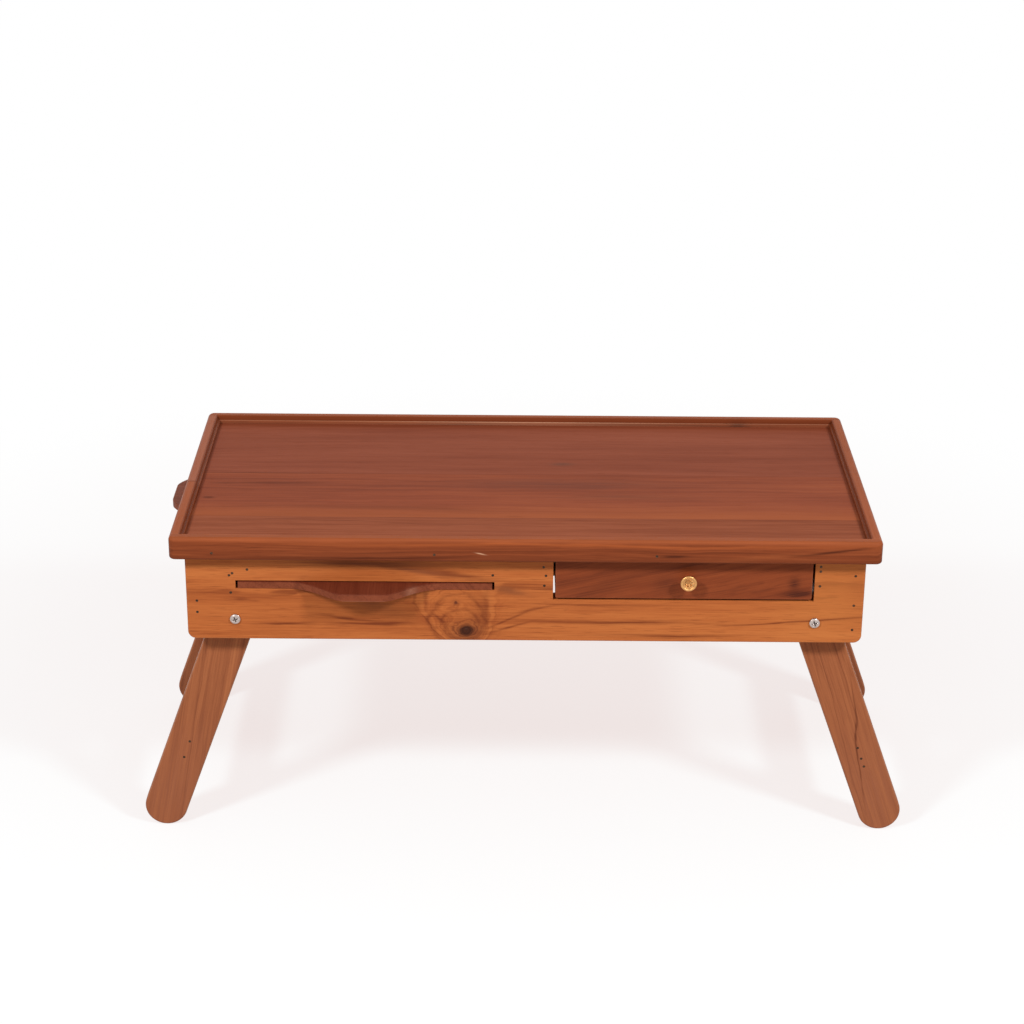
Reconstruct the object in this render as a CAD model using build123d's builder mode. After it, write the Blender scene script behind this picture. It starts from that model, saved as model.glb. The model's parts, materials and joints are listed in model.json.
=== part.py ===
from build123d import *
from math import cos, radians, sin, sqrt
import os

os.makedirs("parts", exist_ok=True)

# Lap desk in solid wood: a rimmed tray top on a shallow box, two folding leg
# frames, a drawer at the front right and two boards that slide out, one to the
# front and one to the left. Millimetres, +Z up, floor at zero, front towards -Y.

# Tray top
tray_width = 610.0
tray_depth = 305.0
overhang = 12.0
panel_thickness = 13.2
panel_arris = 0.2
rim_height = 20.5
rim_land = 9.4
rim_corner = 6.0
rim_top_round = 3.6
rim_bottom_round = 2.0
rim_inner_arris = 0.8
bead_width = 2.1
bead_height = 3.0
bead_arris = 0.7
back_seam_setback = 126.0
middle_plank_width = 101.0

# Box under the tray
apron_height = 80.0
apron_thickness = 15.0
side_thickness = 14.0
apron_corner = 7.0
apron_arris = 1.2

# Legs
splay = 20.0
leg_reach = 208.5
leg_width = 38.0
leg_thickness = 13.0
leg_arris = 2.0
pivot_x = 251.4
pivot_rise = 19.4
stretcher_reach = 148.0
stretcher_width = 34.0
stretcher_thickness = 16.0

# Slide-out boards
board_thickness = 6.3
board_arris = 0.6
board_width = 219.5
tongue_reach = 26.0
tongue_flat = 30.0
tongue_base = 138.0
tongue_root_pull = 0.5
tongue_tip_pull = 0.72
slot_left = -250.1
slot_width = 223.5
slot_height = 7.6
slot_rise = 48.3
slot_play = 0.3
front_board_depth = 234.0
side_board_depth = 238.0
side_board_play = 0.8
board_travel = 140.0
stop_width = 10.0
stop_height = 5.5
stop_clearance = 2.0

# Drawer
drawer_left = 24.0
drawer_opening = 225.6
drawer_floor_rise = 39.6
drawer_gap = 1.9
drawer_front_rise = 1.6
drawer_front_height = 37.8
drawer_front_thickness = 13.0
drawer_front_corner = 1.6
drawer_front_arris = 0.7
drawer_wall = 9.0
drawer_bottom_thickness = 3.0
drawer_side_height = 28.5
drawer_depth = 241.0
drawer_play = 0.3
rabbet_depth = 5.0

# Brass knob
knob_x = 140.2
knob_radius = 7.2
knob_neck_radius = 3.0
knob_foot_radius = 3.3
knob_foot_height = 0.8
knob_reach = 10.4
knob_dish_radius = 5.6
knob_dish_level = 10.1
knob_dish_depth = 1.6
knob_bore_depth = 6.0
ring_radii = (4.6, 3.6, 2.6, 1.6, 0.7)
ring_width = 0.4
ring_depth = 0.2

# Members inside the box
divider_thickness = 12.5
guide_thickness = 10.5
slat_width = 36.0
slat_thickness = 5.2
slat_arris = 0.8
slat_clearance = 39.3
front_slat_depth = 50.0
back_slat_depth = 222.0
runner_width = 12.0
runner_ledge = 8.0
batten_width = 15.0
batten_height = 16.2

# Fasteners
nail_radius = 0.8
nail_head_radius = 1.2
nail_head_height = 0.8
front_rim_nail_places = (-268.0, -78.0, 112.0)
back_rim_nail_places = (-210.0, 0.0, 210.0)
side_rim_nail_places = (-75.0, 75.0)
slat_nail_shares = (0.28, 0.72)
stop_nail_shares = (-0.85, 0.0, 0.85)
drawer_side_nail_shares = (0.3, 0.75)
drawer_bottom_nail_shares = (0.15, 0.52, 0.88)
leg_nail_reaches = {"left": (138.0, 155.0), "right": (140.0, 151.5, 160.0)}
rear_leg_nail_reaches = (140.0, 156.0)
apron_nail_length = 28.0
rim_nail_length = 24.0
leg_nail_length = 32.0
drawer_nail_length = 20.0
slat_nail_length = 16.0
bottom_nail_length = 12.0
stop_nail_length = 9.0
screw_radius = 2.0
screw_length = 35.0
screw_chamfer = 0.5
head_radius = 4.6
head_height = 2.9
head_side = 1.3
head_round = 0.7
recess_span = 5.2
recess_width = 1.1
recess_depth = 1.5
recess_taper = 12.0
recess_turn = 20.0
running_fit = 0.05
washer_play = 0.15
spacer_thickness = 1.0
spacer_radius = 6.0
washer_thickness = 0.8
washer_radius = 4.6
nut_across_flats = 7.0
nut_height = 3.2

# Planes and levels that follow from the sizes above. The front tongue reaches
# further out than the rim, so the tray is set back to centre the whole desk.
centre_y = (tongue_reach - overhang) / 2
box_width = tray_width - 2 * overhang
box_depth = tray_depth - 2 * overhang
front_face = centre_y - box_depth / 2
back_face = centre_y + box_depth / 2
front_inner = front_face + apron_thickness
back_inner = back_face - apron_thickness
side_face = box_width / 2
side_inner = side_face - side_thickness
leg_radius = leg_width / 2
pivot_z = leg_radius + leg_reach * cos(radians(splay))
box_bottom = pivot_z - pivot_rise
box_top = box_bottom + apron_height
panel_top = box_top + panel_thickness
front_rim_face = centre_y - tray_depth / 2
back_rim_face = centre_y + tray_depth / 2
tray_side = tray_width / 2
bead_foot = rim_land + bead_width
slot_bottom = box_bottom + slot_rise
slot_top = slot_bottom + slot_height
slot_right = slot_left + slot_width
slot_centre = slot_left + slot_width / 2
drawer_right = drawer_left + drawer_opening
drawer_floor = box_bottom + drawer_floor_rise
divider_left = drawer_left - divider_thickness
guide_right = drawer_right + guide_thickness
slat_bottom = box_bottom + slat_clearance
slat_top = slat_bottom + slat_thickness
side_board_bottom = box_top - slot_play - board_thickness
batten_top = side_board_bottom - slot_play
batten_bottom = batten_top - batten_height
leg_front = front_inner + spacer_thickness
leg_back = back_inner - spacer_thickness


# A straight board between two opposite corners, with its long edges eased
def plank(low, high, along=Axis.X, arris=0.0):
    with BuildPart() as piece:
        with BuildSketch(Plane.XY.offset(low[2])):
            with Locations(((low[0] + high[0]) / 2, (low[1] + high[1]) / 2)):
                Rectangle(high[0] - low[0], high[1] - low[1])
        extrude(amount=high[2] - low[2])
        if arris:
            fillet(piece.edges().filter_by(along), arris)
    return piece


# Wire nails driven from points on a face, inwards along one direction
def nails(points, inward, length):
    with BuildPart() as group:
        for point in points:
            entry = Plane(origin=point, z_dir=inward)
            with BuildSketch(entry):
                Circle(nail_head_radius)
            extrude(amount=nail_head_height)
            with BuildSketch(entry):
                Circle(nail_radius)
            extrude(amount=length)
    return group


# Joins several groups of fasteners into one node
def joined(*groups):
    with BuildPart() as whole:
        for group in groups:
            add(group.part)
    return whole


# Writes a piece, bored out where the named fasteners pass through it
def finish(piece, label, *fasteners):
    with BuildPart() as bored:
        add(piece.part)
        for fastener in fasteners:
            add(fastener.part, mode=Mode.SUBTRACT)
    bored.part.label = label
    export_step(bored.part, f"parts/{label}.step")
    return bored


# Half outline of a board's pull edge, from its flush corner to the middle of the
# tongue: flush, then a soft swell out to a short flat
def tongue_outline(half_width):
    half_flat = tongue_flat / 2
    half_base = tongue_base / 2
    swell = half_base - half_flat
    root = (half_base, 0)
    root_pull = (half_base - tongue_root_pull * swell, 0)
    tip_pull = (half_base - tongue_tip_pull * swell, tongue_reach)
    tip = (half_flat, tongue_reach)
    Line((half_width, 0), root)
    Bezier(root, root_pull, tip_pull, tip)
    Line(tip, (0, tongue_reach))


# A thin board with a tongue on its pull edge, drawn on its top face: the plane's
# y points the way the board is pulled
def slide_board(top_plane, width, depth):
    with BuildPart() as board:
        with BuildSketch(top_plane):
            with BuildLine():
                tongue_outline(width / 2)
                Line((width / 2, 0), (width / 2, -depth))
                Line((width / 2, -depth), (0, -depth))
                mirror(about=Plane.YZ)
            make_face()
        extrude(amount=-board_thickness)
        fillet(board.edges().group_by(Axis.Z)[-1], board_arris)
    return board


# Rim, made as one moulding round the tray and then cut into its four strips
with BuildPart() as rim:
    with BuildSketch(Plane.XY.offset(box_top)):
        with Locations((0, centre_y)):
            RectangleRounded(tray_width, tray_depth, rim_corner)
    extrude(amount=rim_height)
    fillet(rim.faces().sort_by(Axis.Z)[-1].edges(), rim_top_round)
    fillet(rim.faces().sort_by(Axis.Z)[0].edges(), rim_bottom_round)
    with BuildSketch(Plane.XY.offset(box_top)):
        with Locations((0, centre_y)):
            Rectangle(tray_width - 2 * bead_foot, tray_depth - 2 * bead_foot)
    extrude(amount=panel_thickness + bead_height, mode=Mode.SUBTRACT)
    with BuildSketch(Plane.XY.offset(panel_top + bead_height)):
        with Locations((0, centre_y)):
            Rectangle(tray_width - 2 * rim_land, tray_depth - 2 * rim_land)
    extrude(amount=rim_height, mode=Mode.SUBTRACT)
    fillet(rim.faces().sort_by(Axis.Z)[-1].inner_wires()[0].edges(), rim_inner_arris)
    bead_top = rim.faces().filter_by(Axis.Z).group_by(Axis.Z)[-2]
    fillet(bead_top.sort_by(SortBy.AREA)[-1].inner_wires()[0].edges(), bead_arris)


# Plan of the front or back strip: its full length, and its bead between the sides
def end_strip_region(outer_y, inward):
    with BuildPart() as region:
        with BuildSketch(Plane.XY.offset(box_top)):
            with Locations((0, outer_y + inward * rim_land / 2)):
                Rectangle(tray_width, rim_land)
            with Locations((0, outer_y + inward * bead_foot / 2)):
                Rectangle(tray_width - 2 * bead_foot, bead_foot)
        extrude(amount=rim_height)
    return region


front_region = end_strip_region(front_rim_face, 1)
back_region = end_strip_region(back_rim_face, -1)

with BuildPart() as front_lipping:
    add(rim.part)
    add(front_region.part, mode=Mode.INTERSECT)

with BuildPart() as back_lipping:
    add(rim.part)
    add(back_region.part, mode=Mode.INTERSECT)

with BuildPart() as left_lipping:
    add(rim.part)
    add(front_region.part, mode=Mode.SUBTRACT)
    add(back_region.part, mode=Mode.SUBTRACT)
    split(bisect_by=Plane.YZ, keep=Keep.BOTTOM)

with BuildPart() as right_lipping:
    add(rim.part)
    add(front_region.part, mode=Mode.SUBTRACT)
    add(back_region.part, mode=Mode.SUBTRACT)
    split(bisect_by=Plane.YZ, keep=Keep.TOP)

nail_level = box_top + panel_thickness / 2
front_rim_nails = nails(
    [(x, front_rim_face, nail_level) for x in front_rim_nail_places], (0, 1, 0), rim_nail_length
)
back_rim_nails = nails(
    [(x, back_rim_face, nail_level) for x in back_rim_nail_places], (0, -1, 0), rim_nail_length
)
left_rim_nails = nails(
    [(-tray_side, centre_y + y, nail_level) for y in side_rim_nail_places],
    (1, 0, 0),
    rim_nail_length,
)
right_rim_nails = nails(
    [(tray_side, centre_y + y, nail_level) for y in side_rim_nail_places],
    (-1, 0, 0),
    rim_nail_length,
)
lipping_nails = joined(front_rim_nails, back_rim_nails, left_rim_nails, right_rim_nails)
finish(lipping_nails, "lipping_nails")
finish(front_lipping, "front_lipping", front_rim_nails)
finish(back_lipping, "back_lipping", back_rim_nails)
finish(left_lipping, "left_lipping", left_rim_nails)
finish(right_lipping, "right_lipping", right_rim_nails)

# Tray panel, eased round its top edge where the rim is glued and nailed on, and cut
# into its three planks
panel_side = tray_side - bead_foot
panel_front = front_rim_face + bead_foot
panel_back = back_rim_face - bead_foot
back_seam = back_face - back_seam_setback
front_seam = back_seam - middle_plank_width
plank_edges = {
    "top_plank_front": (panel_front, front_seam),
    "top_plank_middle": (front_seam, back_seam),
    "top_plank_back": (back_seam, panel_back),
}
with BuildPart() as panel:
    add(plank((-panel_side, panel_front, box_top), (panel_side, panel_back, panel_top)).part)
    chamfer(panel.faces().sort_by(Axis.Z)[-1].edges(), panel_arris)

for label, (near, far) in plank_edges.items():
    with BuildPart() as top_plank:
        add(panel.part)
        add(
            plank((-panel_side, near, box_top), (panel_side, far, panel_top)).part,
            mode=Mode.INTERSECT,
        )
    finish(top_plank, label, lipping_nails)

# Nails through the front apron, as (place across, height over the box's edge),
# then the same through the back apron
end_nails = [(-284.0, 36.3), (-284.0, 25.5), (284.5, 64.0), (284.5, 36.0), (284.5, 12.7)]
batten_nails = [(-255.3, 60.6), (-252.6, 62.6), (-239.6, 66.2), (-28.1, 62.3)]
runner_nails = [(-254.4, 44.3)]
divider_nails = [(15.7, 70.4), (17.7, 62.3), (16.4, 52.9)]
guide_nails = [(254.2, 72.6), (254.2, 68.1), (254.2, 54.2)]
front_places = end_nails + batten_nails + runner_nails + divider_nails + guide_nails
back_ends = [(x, height) for x in (-284.5, 284.5) for height in (26.0, 58.0)]
back_members = [(x, 62.0) for x in (-255.0, -28.0, 17.5, 254.5)]
back_places = back_ends + runner_nails + back_members
front_apron_nails = nails(
    [(x, front_face, box_bottom + height) for x, height in front_places],
    (0, 1, 0),
    apron_nail_length,
)
back_apron_nails = nails(
    [(x, back_face, box_bottom + height) for x, height in back_places],
    (0, -1, 0),
    apron_nail_length,
)
finish(front_apron_nails, "front_apron_nails")
finish(back_apron_nails, "back_apron_nails")


# Screws that the legs turn on, one at each end of the front and back aprons
pivots = [
    (side * pivot_x, face, outward)
    for face, outward in ((front_face, -1), (back_face, 1))
    for side in (-1, 1)
]


# Plane on a screw's axis: x across it, y out of the apron
def axial_plane(x, y, outward):
    return Plane(origin=(x, y, pivot_z), x_dir=(1, 0, 0), z_dir=(0, 0, outward))


# Plane square to a screw's axis, facing out of the apron
def cross_plane(x, y, outward):
    return Plane(origin=(x, y, pivot_z), x_dir=(1, 0, 0), z_dir=(0, outward, 0))


# Radius of the sphere whose cap has a given half width and rise
def cap_radius(half_width, rise):
    return (half_width**2 + rise**2) / (2 * rise)


# Half outline of a pan-head screw, its axis upwards, the head seated at a level
def pan_head_screw(seat, length):
    shoulder = (head_radius, seat + head_side)
    crown = (0, seat + head_height)
    Polyline(
        crown,
        (0, seat - length),
        (screw_radius - screw_chamfer, seat - length),
        (screw_radius, seat - length + screw_chamfer),
        (screw_radius, seat),
        (head_radius, seat),
        shoulder,
    )
    RadiusArc(shoulder, crown, -cap_radius(head_radius, head_height - head_side))


# Cross recess in a screw's head, drawn on the plane at its crown
def cross_recess(turn):
    Rectangle(recess_span, recess_width, rotation=turn)
    Rectangle(recess_width, recess_span, rotation=turn)


with BuildPart() as pivot_screws:
    for x, face, outward in pivots:
        with BuildSketch(axial_plane(x, face, outward)):
            with BuildLine():
                pan_head_screw(0, screw_length)
            make_face()
            fillet(vertices().sort_by_distance((head_radius, head_side, 0))[0], head_round)
        revolve(axis=Axis((x, face, pivot_z), (0, 1, 0)))
        with BuildSketch(cross_plane(x, face + outward * head_height, outward)):
            cross_recess(recess_turn)
        extrude(amount=-recess_depth, taper=recess_taper, mode=Mode.SUBTRACT)


# A round washer at each pivot, its outer side a given depth behind the face
def washer_set(depth, thickness, radius):
    with BuildPart() as group:
        for x, face, outward in pivots:
            with BuildSketch(cross_plane(x, face - outward * depth, outward)):
                Circle(radius)
                Circle(screw_radius + washer_play, mode=Mode.SUBTRACT)
            extrude(amount=-thickness)
    return group


washer_depth = apron_thickness + spacer_thickness + leg_thickness
pivot_spacers = washer_set(apron_thickness, spacer_thickness, spacer_radius)
pivot_washers = washer_set(washer_depth, washer_thickness, washer_radius)

with BuildPart() as pivot_nuts:
    for x, face, outward in pivots:
        depth = washer_depth + washer_thickness
        with BuildSketch(cross_plane(x, face - outward * depth, outward)):
            RegularPolygon(nut_across_flats / 2, 6, major_radius=False)
            Circle(screw_radius + running_fit, mode=Mode.SUBTRACT)
        extrude(amount=-nut_height)

finish(pivot_screws, "pivot_screws")
finish(pivot_spacers, "pivot_spacers")
finish(pivot_washers, "pivot_washers")
finish(pivot_nuts, "pivot_nuts")


# Plain apron standing on the XZ plane at its outer face, its lower corners rounded
# and bored for the leg screws; inward is 1 at the front and -1 at the back
def apron_blank(outer_y, inward):
    outer_plane = Plane(origin=(0, outer_y, 0), x_dir=(1, 0, 0), z_dir=(0, -1, 0))
    with BuildPart() as apron:
        with BuildSketch(outer_plane):
            with Locations((0, (box_bottom + box_top) / 2)):
                Rectangle(box_width, apron_height)
            fillet(vertices().group_by(Axis.Y)[0], apron_corner)
        extrude(amount=-inward * apron_thickness)
        outer_edges = apron.faces().sort_by(Axis.Y)[0 if inward > 0 else -1].edges()
        fillet([edge for edge in outer_edges if edge.center().Z < box_top - 1], apron_arris)
        with BuildSketch(outer_plane):
            with Locations((-pivot_x, pivot_z), (pivot_x, pivot_z)):
                Circle(screw_radius + running_fit)
        extrude(amount=-inward * apron_thickness, mode=Mode.SUBTRACT)
    return apron


front_plane = Plane(origin=(0, front_face, 0), x_dir=(1, 0, 0), z_dir=(0, -1, 0))

with BuildPart() as front_apron:
    add(apron_blank(front_face, 1).part)
    # slot for the front board
    with BuildSketch(front_plane):
        with Locations((slot_centre, (slot_bottom + slot_top) / 2)):
            Rectangle(slot_width, slot_height)
    extrude(amount=-apron_thickness, mode=Mode.SUBTRACT)
    # notch for the drawer, open at the top
    with BuildSketch(front_plane):
        with Locations(((drawer_left + drawer_right) / 2, (drawer_floor + box_top) / 2)):
            Rectangle(drawer_opening, box_top - drawer_floor)
    extrude(amount=-apron_thickness, mode=Mode.SUBTRACT)

finish(front_apron, "front_apron", front_apron_nails)
finish(apron_blank(back_face, -1), "back_apron", back_apron_nails)

# Side boards between the aprons. The left one is lower by the thickness of the
# board that slides out over it.
left_side_board = plank((-side_face, front_inner, box_bottom), (-side_inner, back_inner, batten_top))
right_side_board = plank((side_inner, front_inner, box_bottom), (side_face, back_inner, box_top))
finish(left_side_board, "left_side_board", front_apron_nails, back_apron_nails)
finish(right_side_board, "right_side_board", front_apron_nails, back_apron_nails)

# Members from the front apron to the back one, either side of the drawer
centre_divider = plank((divider_left, front_inner, slat_top), (drawer_left, back_inner, box_top))
drawer_guide = plank((drawer_right, front_inner, slat_top), (guide_right, back_inner, box_top))

# Two slats nailed up under those members, on which the drawer runs
front_slat_y = front_face + front_slat_depth
back_slat_y = front_face + back_slat_depth
slat_spans = {
    "front_drawer_slat": front_slat_y,
    "back_drawer_slat": back_slat_y,
}
slat_nails = nails(
    [
        (x, near + slat_width * share, slat_bottom)
        for near in slat_spans.values()
        for x in (divider_left + divider_thickness / 2, guide_right - guide_thickness / 2)
        for share in slat_nail_shares
    ],
    (0, 0, 1),
    slat_nail_length,
)
for label, near in slat_spans.items():
    slat = plank(
        (divider_left, near, slat_bottom),
        (guide_right, near + slat_width, slat_top),
        Axis.X,
        slat_arris,
    )
    finish(slat, label, slat_nails)
finish(slat_nails, "drawer_slat_nails")
finish(centre_divider, "centre_divider", front_apron_nails, back_apron_nails, slat_nails)
finish(drawer_guide, "drawer_guide", front_apron_nails, back_apron_nails, slat_nails)


# Rebated runner that guides and carries one edge of the front board; inward is
# the way its ledge points
def board_runner(edge_x, inward):
    outer_x = edge_x - inward * runner_width
    ledge_x = edge_x + inward * runner_ledge
    with BuildPart() as runner:
        with BuildSketch(Plane(origin=(0, front_inner, 0), x_dir=(1, 0, 0), z_dir=(0, -1, 0))):
            with BuildLine():
                Polyline(
                    (outer_x, drawer_floor),
                    (ledge_x, drawer_floor),
                    (ledge_x, slot_bottom),
                    (edge_x, slot_bottom),
                    (edge_x, slot_top),
                    (outer_x, slot_top),
                    close=True,
                )
            make_face()
        extrude(amount=front_inner - back_inner)
    return runner


finish(board_runner(slot_left, 1), "front_board_left_runner", front_apron_nails, back_apron_nails)
finish(board_runner(slot_right, -1), "front_board_right_runner")

# Battens along the aprons that carry the side board
front_batten = plank(
    (-side_inner, front_inner, batten_bottom),
    (divider_left, front_inner + batten_width, batten_top),
)
back_batten = plank(
    (-side_inner, back_inner - batten_width, batten_bottom),
    (divider_left, back_inner, batten_top),
)
finish(front_batten, "side_board_front_batten", front_apron_nails)
finish(back_batten, "side_board_back_batten", back_apron_nails)

# Front board with its stop underneath, which meets the front apron
front_board_top = slot_bottom + slot_play + board_thickness
front_board = slide_board(
    Plane(origin=(slot_centre, front_face, front_board_top), x_dir=(-1, 0, 0), z_dir=(0, 0, 1)),
    board_width,
    front_board_depth,
)
front_stop_y = front_inner + board_travel
front_stop_low = front_board_top - board_thickness - stop_height
front_stop_half = slot_width / 2 - runner_ledge - stop_width
front_stop = plank(
    (slot_centre - front_stop_half, front_stop_y, front_stop_low),
    (slot_centre + front_stop_half, front_stop_y + stop_width, front_stop_low + stop_height),
)
front_stop_nails = nails(
    [
        (slot_centre + share * front_stop_half, front_stop_y + stop_width / 2, front_stop_low)
        for share in stop_nail_shares
    ],
    (0, 0, 1),
    stop_nail_length,
)
finish(front_board, "front_board", front_stop_nails)
finish(front_stop, "front_board_stop", front_stop_nails)
finish(front_stop_nails, "front_board_stop_nails")

# Side board, the full width between the aprons, with its stop, which meets the
# left side board
side_board_top = side_board_bottom + board_thickness
side_board = slide_board(
    Plane(origin=(-side_face, centre_y, side_board_top), x_dir=(0, 1, 0), z_dir=(0, 0, 1)),
    back_inner - front_inner - 2 * side_board_play,
    side_board_depth,
)
side_stop_x = board_travel - side_inner
side_stop_low = side_board_bottom - stop_height
side_stop_half = (back_inner - front_inner) / 2 - batten_width - stop_clearance
side_stop = plank(
    (side_stop_x, centre_y - side_stop_half, side_stop_low),
    (side_stop_x + stop_width, centre_y + side_stop_half, side_board_bottom),
)
side_stop_nails = nails(
    [
        (side_stop_x + stop_width / 2, centre_y + share * side_stop_half, side_stop_low)
        for share in stop_nail_shares
    ],
    (0, 0, 1),
    stop_nail_length,
)
finish(side_board, "side_board", side_stop_nails)
finish(side_stop, "side_board_stop", side_stop_nails)
finish(side_stop_nails, "side_board_stop_nails")


# Point on a leg's centre line at a distance from its pivot; side is -1 or 1
def on_leg(side, reach):
    return (
        side * (pivot_x + reach * sin(radians(splay))),
        pivot_z - reach * cos(radians(splay)),
    )


# Flat leg with round ends, bored for its screw
def leg(side, near_y):
    middle = on_leg(side, leg_reach / 2)
    tilt = 90 + side * splay
    leg_plane = Plane(origin=(0, near_y, 0), x_dir=(1, 0, 0), z_dir=(0, -1, 0))
    with BuildPart() as piece:
        with BuildSketch(leg_plane):
            with Locations(middle):
                SlotCenterToCenter(leg_reach, leg_width, rotation=tilt)
        extrude(amount=-leg_thickness)
        fillet(piece.faces().filter_by(Axis.Y).edges(), leg_arris)
        with BuildSketch(leg_plane):
            with Locations((side * pivot_x, pivot_z)):
                Circle(screw_radius + running_fit)
        extrude(amount=-leg_thickness, mode=Mode.SUBTRACT)
    return piece


# Stretcher between the two legs of one side
def stretcher(side):
    middle = on_leg(side, stretcher_reach)
    with BuildPart() as piece:
        with BuildSketch(
            Plane(origin=(0, leg_front + leg_thickness, 0), x_dir=(1, 0, 0), z_dir=(0, -1, 0))
        ):
            with Locations(middle):
                RectangleRounded(
                    stretcher_width, stretcher_thickness, leg_arris, rotation=90 + side * splay
                )
        extrude(amount=leg_front + 2 * leg_thickness - leg_back)
    return piece


for side, name in ((-1, "left"), (1, "right")):
    front_nails = nails(
        [(x, leg_front, z) for x, z in (on_leg(side, reach) for reach in leg_nail_reaches[name])],
        (0, 1, 0),
        leg_nail_length,
    )
    back_nails = nails(
        [(x, leg_back, z) for x, z in (on_leg(side, reach) for reach in rear_leg_nail_reaches)],
        (0, -1, 0),
        leg_nail_length,
    )
    leg_nails = joined(front_nails, back_nails)
    finish(leg(side, leg_front), f"{name}_front_leg", leg_nails)
    finish(leg(side, leg_back - leg_thickness), f"{name}_rear_leg", leg_nails)
    finish(stretcher(side), f"{name}_stretcher", leg_nails)
    finish(leg_nails, f"{name}_leg_nails")

# Drawer box: front rabbeted for the sides, back between them, thin bottom nailed up
drawer_x = (drawer_left + drawer_gap, drawer_right - drawer_gap)
drawer_back_y = front_face + drawer_depth
front_back_y = front_face + drawer_front_thickness
drawer_bottom = slat_top + drawer_play
drawer_side_low = drawer_bottom + drawer_bottom_thickness
drawer_side_top = drawer_side_low + drawer_side_height
drawer_front_low = drawer_floor + drawer_front_rise
knob_z = drawer_front_low + drawer_front_height / 2

side_nails = [
    nails(
        [
            (x, y, drawer_side_low + drawer_side_height * share)
            for y in (front_back_y - rabbet_depth / 2, drawer_back_y - drawer_wall / 2)
            for share in drawer_side_nail_shares
        ],
        (inward, 0, 0),
        drawer_nail_length,
    )
    for x, inward in ((drawer_x[0], 1), (drawer_x[1], -1))
]
bottom_nails = nails(
    [
        (x, front_face + drawer_depth * share, drawer_bottom)
        for x in (drawer_x[0] + drawer_wall / 2, drawer_x[1] - drawer_wall / 2)
        for share in drawer_bottom_nail_shares
    ],
    (0, 0, 1),
    bottom_nail_length,
)
drawer_nails = joined(*side_nails, bottom_nails)

with BuildPart() as drawer_front:
    with BuildSketch(front_plane):
        with Locations((sum(drawer_x) / 2, knob_z)):
            RectangleRounded(
                drawer_x[1] - drawer_x[0], drawer_front_height, drawer_front_corner
            )
    extrude(amount=-drawer_front_thickness)
    fillet(drawer_front.faces().sort_by(Axis.Y)[0].edges(), drawer_front_arris)
    # rabbets that take the ends of the sides
    rabbet_middle = (drawer_side_low + drawer_side_top) / 2
    with BuildSketch(front_plane.offset(-drawer_front_thickness)):
        for x in (drawer_x[0] + drawer_wall / 2, drawer_x[1] - drawer_wall / 2):
            with Locations((x, rabbet_middle)):
                Rectangle(drawer_wall, drawer_side_height)
    extrude(amount=rabbet_depth, mode=Mode.SUBTRACT)
    # hole for the knob's screw
    with BuildSketch(front_plane):
        with Locations((knob_x, knob_z)):
            Circle(screw_radius + running_fit)
    extrude(amount=-drawer_front_thickness, mode=Mode.SUBTRACT)

finish(drawer_front, "drawer_front", drawer_nails)

for label, x in (("drawer_left_side", drawer_x[0]), ("drawer_right_side", drawer_x[1] - drawer_wall)):
    drawer_side = plank(
        (x, front_back_y - rabbet_depth, drawer_side_low),
        (x + drawer_wall, drawer_back_y, drawer_side_top),
    )
    finish(drawer_side, label, drawer_nails)

drawer_back = plank(
    (drawer_x[0] + drawer_wall, drawer_back_y - drawer_wall, drawer_side_low),
    (drawer_x[1] - drawer_wall, drawer_back_y, drawer_side_top),
)
drawer_floor_panel = plank(
    (drawer_x[0], front_back_y, drawer_bottom), (drawer_x[1], drawer_back_y, drawer_side_low)
)
finish(drawer_back, "drawer_back", drawer_nails)
finish(drawer_floor_panel, "drawer_bottom", drawer_nails)
finish(drawer_nails, "drawer_nails")

# Turned brass knob on a short neck, its face a dish with fine rings
knob_plane = Plane(origin=(knob_x, front_face, knob_z), x_dir=(1, 0, 0), z_dir=(0, 0, -1))
knob_axis = Axis((knob_x, front_face, knob_z), (0, 1, 0))
knob_bore = screw_radius + running_fit
dish_sphere = cap_radius(knob_dish_radius, knob_dish_depth)
dish_bottom = knob_dish_level - knob_dish_depth
dish_edge = (knob_dish_radius, knob_dish_level)
rim_crest = (6.3, knob_reach)
rim_front = (7.0, 9.9)
widest = (knob_radius, 9.1)
rim_back = (6.9, 8.4)
cup_edge = (6.2, 8.0)
cup_cove = (4.2, 6.9)
neck_top = (knob_neck_radius, 5.0)
neck_foot = (knob_neck_radius, knob_foot_height)


# Height of the knob's dished face over the drawer front at a radius
def knob_face(radius):
    return dish_bottom + dish_sphere - sqrt(dish_sphere**2 - radius**2)


with BuildPart() as drawer_knob:
    with BuildSketch(knob_plane):
        with BuildLine():
            Polyline(
                (0, dish_bottom),
                (0, knob_bore_depth),
                (knob_bore, knob_bore_depth),
                (knob_bore, 0),
                (knob_foot_radius, 0),
                neck_foot,
                neck_top,
            )
            ThreePointArc(neck_top, cup_cove, cup_edge)
            ThreePointArc(cup_edge, rim_back, widest)
            ThreePointArc(widest, rim_front, rim_crest)
            Line(rim_crest, dish_edge)
            RadiusArc(dish_edge, (0, dish_bottom), dish_sphere)
        make_face()
    revolve(axis=knob_axis)
    with BuildSketch(knob_plane):
        for radius in ring_radii:
            with Locations((radius, knob_face(radius))):
                Rectangle(ring_width, 2 * ring_depth)
    revolve(axis=knob_axis, mode=Mode.SUBTRACT)

# Its screw, from inside the drawer
screw_plane = Plane(origin=(knob_x, front_back_y, knob_z), x_dir=(1, 0, 0), z_dir=(0, 0, 1))
knob_screw_length = drawer_front_thickness + knob_bore_depth - screw_chamfer

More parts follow.
